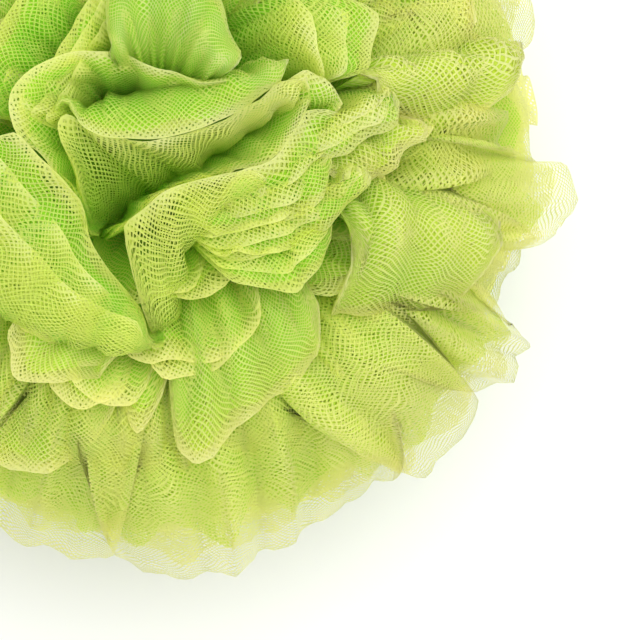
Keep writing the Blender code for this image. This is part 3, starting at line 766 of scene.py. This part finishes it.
RIM_OUTER = ((0, 0), (7, -0.5))
RIM_INNER = ((13, -0.8),)
RIM_TAPER = 1.5
RIM_OVERLAP = 6.0
RIM_FLUTTER = 3.0
RIM_SKIRT_REACH = 57
SKIRTS = 6
SKIRT_HALF_ANGLE = 40
SKIRT_WAVE = 1.5
SKIRT_WAVES = 5
SKIRT_FOOT = 0.7


def both_sides(shapes, flutter, turn, lower, seed, overlap=0.0):
    """The ruffles and the same again half a turn round, with feet that reach under each other."""
    made = []
    for n, (lip, foot, lip_shares, foot_shares) in enumerate(shapes):
        foot = np.array(foot, float)
        for end, next_in in ((0, 1), (-1, -2)):
            outward = foot[end] - foot[next_in]
            foot[end] += outward / np.hypot(*outward) * overlap
        shape = (lip, foot, lip_shares, foot_shares)
        for half in (0, math.pi):
            made.append(Ruffle(shape, flutter, turn + half, lower, seed + n, taper=RIM_TAPER))
    return made


def skirts(reach, lower, seed, lip_share=0.55, foot_share=0.68, flutter=2.0):
    """Long sheets all round that lie between the other folds and overlap at their ends."""
    made = []
    for n in range(SKIRTS):
        angles = np.radians(np.linspace(-SKIRT_HALF_ANGLE, SKIRT_HALF_ANGLE, 9))
        wave = SKIRT_WAVE * np.sin(SKIRT_WAVES * angles + n)
        lip = np.column_stack([(reach + wave) * np.cos(angles), (reach + wave) * np.sin(angles)])
        shape = (lip, lip * SKIRT_FOOT, (lip_share, lip_share), (foot_share, foot_share))
        made.append(Ruffle(shape, flutter, n * math.pi / 3 + 0.4 + 0.37 * seed, lower, seed + n))
    return made


rim = both_sides(RIM_RUFFLES.values(), RIM_FLUTTER, 0, False, 80, RIM_OVERLAP)
rim += skirts(RIM_SKIRT_REACH, False, 500)
net_piece("rim_netting", rim, RIM_OUTER, SIDE_END, SIDE_FACET, side_netting)
net_piece("rim_inner_netting", rim, RIM_INNER, SIDE_END, SIDE_FACET, side_inner_netting)

# Underside. The same kinds of ruffle below the tie, turned so that they lie between the upper
# ones, and pressed flat where the pouf lies on them.
UNDER_CROWN = ("cup", "cup_side", "scoop", "back_fold", "left_fold", "right_fold")
UNDER_SHOULDER = ("square_fold", "long_fold", "broad_fold", "barrel", "top_fold")

LOWER_TURN = math.radians(38)
SECTOR = 5
UNDER_OUTER = ((0, 0.5), (0, -0.5))
UNDER_INNER = ((4, 0),)
UNDER_FACET = 1.7
UNDER_FOLD_REACHES = (20, 50)
UNDER_FOLD_SHARE = 0.84
LOWER_SKIRT_REACH = 56
LOWER_RIM_SHARE = 0.91
LOWER_RIM_END = 0.62
LOWER_RIM_INNER_END = 0.64

outer_reach = np.zeros(360 // SECTOR)
for fold in rim:
    lip = fold.bare(np.linspace(0, 1, LIP_STEPS + 1), np.zeros(LIP_STEPS + 1))
    sector = (np.degrees(np.arctan2(lip[:, 1], lip[:, 0])) % 360 // SECTOR).astype(int)
    np.maximum.at(outer_reach, sector, np.hypot(lip[:, 0], lip[:, 1]))


def tucked(folds, share):
    """Lower sheets end a little inside the upper ones."""
    middles = np.arange(360 // SECTOR) * SECTOR + SECTOR / 2
    for fold in folds:
        turned = np.degrees(np.arctan2(fold.lip[:, 1], fold.lip[:, 0]) + fold.turn) % 360
        limit = share * np.interp(turned, middles, outer_reach, period=360)
        fold.lip = fold.lip * np.minimum(1, limit / np.hypot(fold.lip[:, 0], fold.lip[:, 1]))[:, None]
    return folds


under = [
    Ruffle(CROWN_RUFFLES[name], CROWN_FLUTTER, LOWER_TURN, True, 120 + n)
    for n, name in enumerate(UNDER_CROWN)
]
under_shapes = [SHOULDER_RUFFLES[name] for name in UNDER_SHOULDER]
under += both_sides(under_shapes, SHOULDER_FLUTTER, LOWER_TURN, True, 140)
under += small_folds(UNDER_FOLD_REACHES, UNDER_FOLD_SHARE, 400, lower=True)
net_piece("underside_netting", under, UNDER_OUTER, SIDE_END, UNDER_FACET, side_netting)
net_piece("underside_inner_netting", under, UNDER_INNER, SIDE_END, UNDER_FACET, side_inner_netting)

lower_rim = both_sides(RIM_RUFFLES.values(), RIM_FLUTTER, LOWER_TURN, True, 160, RIM_OVERLAP)
lower_rim = tucked(lower_rim + skirts(LOWER_SKIRT_REACH, True, 520), LOWER_RIM_SHARE)
net_piece("lower_rim_netting", lower_rim, RIM_OUTER, LOWER_RIM_END, UNDER_FACET, side_netting)
net_piece(
    "lower_rim_inner_netting", lower_rim, RIM_INNER, LOWER_RIM_INNER_END, UNDER_FACET,
    side_inner_netting,
)

# Waist. All round the middle the netting stands out in close, crumpled folds. Some run round the
# pouf and some stand on edge between the upper rim and the lower one.
WAIST_LAYERS = ((0, 0.4), (1.5, -0.4))
WAIST_RINGS = (
    (64, False, 0.3, 0.35), (61, False, 0.06, 0.14), (63, True, 0.12, 0.16), (62, True, 0.34, 0.4),
)
WAIST_FLUTTER = 4.0
WAIST_END = 0.42
UPRIGHT_FOLDS = 45
UPRIGHT_REACHES = (60, 67)
UPRIGHT_HALVES = (10, 15)
UPRIGHT_SLANT = 32
UPRIGHT_BULGE = 2.5
UPRIGHT_FLUTTER = 1.6
UPRIGHT_ROOT_REACH = 10.6
UPRIGHT_ROOT = 10.0
UPRIGHT_ROOT_HALF = 2.5
UPRIGHT_END = 0.4


class UprightFold(Ruffle):
    """A fold whose lip crosses the tie's plane."""

    def __init__(self, turn, seed):
        chance = np.random.default_rng(seed)
        self.turn, self.taper, self.flutter = turn, END_TAPER, UPRIGHT_FLUTTER
        self.reach, self.half = chance.uniform(*UPRIGHT_REACHES), chance.uniform(*UPRIGHT_HALVES)
        self.slant = math.radians(chance.uniform(-UPRIGHT_SLANT, UPRIGHT_SLANT))
        self.length = 2 * self.half + 6
        self.measure(seed)

    def bare(self, across, fold):
        step = 1 - 2 * across
        bulge = UPRIGHT_BULGE * np.cos(step * 1.4 + 0.4 * math.sin(self.phases[0]))
        reach = (self.reach + bulge - UPRIGHT_BULGE) * (1 - fold) + UPRIGHT_ROOT_REACH * fold
        turn = self.turn + (self.slant * step + 0.06 * np.sin(4 * step + self.phases[1])) * (1 - fold)
        height = self.half * step * (1 - fold) + (UPRIGHT_ROOT + UPRIGHT_ROOT_HALF * step) * fold
        return np.column_stack([reach * np.cos(turn), reach * np.sin(turn), TIE_PLANE + height])


waist = [
    fold for n, (reach, lower, lip_share, foot_share) in enumerate(WAIST_RINGS)
    for fold in skirts(reach, lower, 600 + 10 * n, lip_share, foot_share, WAIST_FLUTTER)
]
net_piece("waist_netting", waist, WAIST_LAYERS, WAIST_END, UNDER_FACET, side_netting)
net_piece("waist_inner_netting", waist, UNDER_INNER, WAIST_END, UNDER_FACET, side_inner_netting)
upright = [UprightFold(2 * math.pi * k / UPRIGHT_FOLDS, 200 + k) for k in range(UPRIGHT_FOLDS)]
net_piece("upright_netting", upright, WAIST_LAYERS, UPRIGHT_END, UNDER_FACET, side_netting)

# Tie. A thin twisted cord of two strands, drawn tight round the gathered middle of the netting.
CORD_RING = 8.8
CORD_STRAND = 0.78
CORD_WIND = 0.66
CORD_TWISTS = 17
CORD_STEPS = 272
CORD_SIDES = 8
CORD_COLOUR = (0.55, 0.74, 0.20)
FIBRE_SCALE = 1.6
FIBRE_RELIEF = 0.1 * MM

turn, side = np.meshgrid(
    np.linspace(0, 2 * math.pi, CORD_STEPS + 1), np.linspace(0, 2 * math.pi, CORD_SIDES + 1), indexing="ij",
)
cord_points, cord_faces, cord_weave = [], [], []
for strand in (0, 1):
    twist = CORD_TWISTS * turn + strand * math.pi
    out = CORD_RING + CORD_WIND * np.cos(twist) + CORD_STRAND * np.cos(side)
    up = TIE_PLANE + CORD_WIND * np.sin(twist) + CORD_STRAND * np.sin(side)
    cord_points.append(np.dstack([out * np.cos(turn), out * np.sin(turn), up]).reshape(-1, 3))
    cord_faces.append(grid_faces(*turn.shape, strand * turn.size))
    cord_weave.append(np.column_stack([turn.ravel() * CORD_RING, side.ravel()]))
cord = cloth_piece("twisted_tie", np.vstack(cord_points), np.vstack(cord_faces), np.vstack(cord_weave))

yarn = bpy.data.materials.new("twisted_yarn")
yarn.use_nodes = True
yarn_nodes, yarn_links = yarn.node_tree.nodes, yarn.node_tree.links
yarn_shader = yarn_nodes["Principled BSDF"]
yarn_shader.inputs["Base Color"].default_value = (*CORD_COLOUR, 1)
yarn_shader.inputs["Roughness"].default_value = 0.7
yarn_shader.inputs["Specular IOR Level"].default_value = 0.2
yarn_place = yarn_nodes.new("ShaderNodeUVMap")
yarn_place.uv_map = "weave"
fibres = yarn_nodes.new("ShaderNodeTexWave")
fibres.inputs["Scale"].default_value = FIBRE_SCALE
fibres.inputs["Distortion"].default_value = 2
yarn_links.new(yarn_place.outputs["UV"], fibres.inputs["Vector"])
fibre_relief = yarn_nodes.new("ShaderNodeBump")
fibre_relief.inputs["Strength"].default_value = 0.6
fibre_relief.inputs["Distance"].default_value = FIBRE_RELIEF
yarn_links.new(fibres.outputs["Fac"], fibre_relief.inputs["Height"])
yarn_links.new(fibre_relief.outputs["Normal"], yarn_shader.inputs["Normal"])
cord.data.materials.append(yarn)
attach(cord, "root")
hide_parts("tie_cord")

# Floor and light. A white surface under soft light from above, plain enough that the netting
# keeps its own colour.
FLOOR_HALF = 6.0
FLOOR_WHITE = (0.94, 0.94, 0.94)
ROOM_LIGHT = 0.9
LAMP_LIGHT = 1.5
LAMP_SPREAD = math.radians(50)
LAMP_FROM = (0.2, 0.25, 1)

floor_data = bpy.data.meshes.new("floor")
corners = [(x * FLOOR_HALF, y * FLOOR_HALF, 0) for x, y in ((-1, -1), (1, -1), (1, 1), (-1, 1))]
floor_data.from_pydata(corners, [], [(0, 1, 2, 3)])
floor = bpy.data.objects.new("floor", floor_data)
bpy.context.scene.collection.objects.link(floor)
white = bpy.data.materials.new("white_floor")
white.use_nodes = True
white_shader = white.node_tree.nodes["Principled BSDF"]
white_shader.inputs["Base Color"].default_value = (*FLOOR_WHITE, 1)
white_shader.inputs["Roughness"].default_value = 0.9
white_shader.inputs["Specular IOR Level"].default_value = 0.1
floor_data.materials.append(white)

world = bpy.data.worlds.new("studio")
world.use_nodes = True
backdrop = world.node_tree.nodes["Background"]
backdrop.inputs["Color"].default_value = (1, 1, 1, 1)
backdrop.inputs["Strength"].default_value = ROOM_LIGHT
bpy.context.scene.world = world

lamp_data = bpy.data.lights.new("softbox", "SUN")
lamp_data.angle = LAMP_SPREAD
lamp_data.energy = LAMP_LIGHT
lamp = bpy.data.objects.new("softbox", lamp_data)
lamp.rotation_euler = Vector(LAMP_FROM).to_track_quat("Z", "Y").to_euler()
bpy.context.scene.collection.objects.link(lamp)

bpy.context.scene.view_settings.view_transform = "Standard"
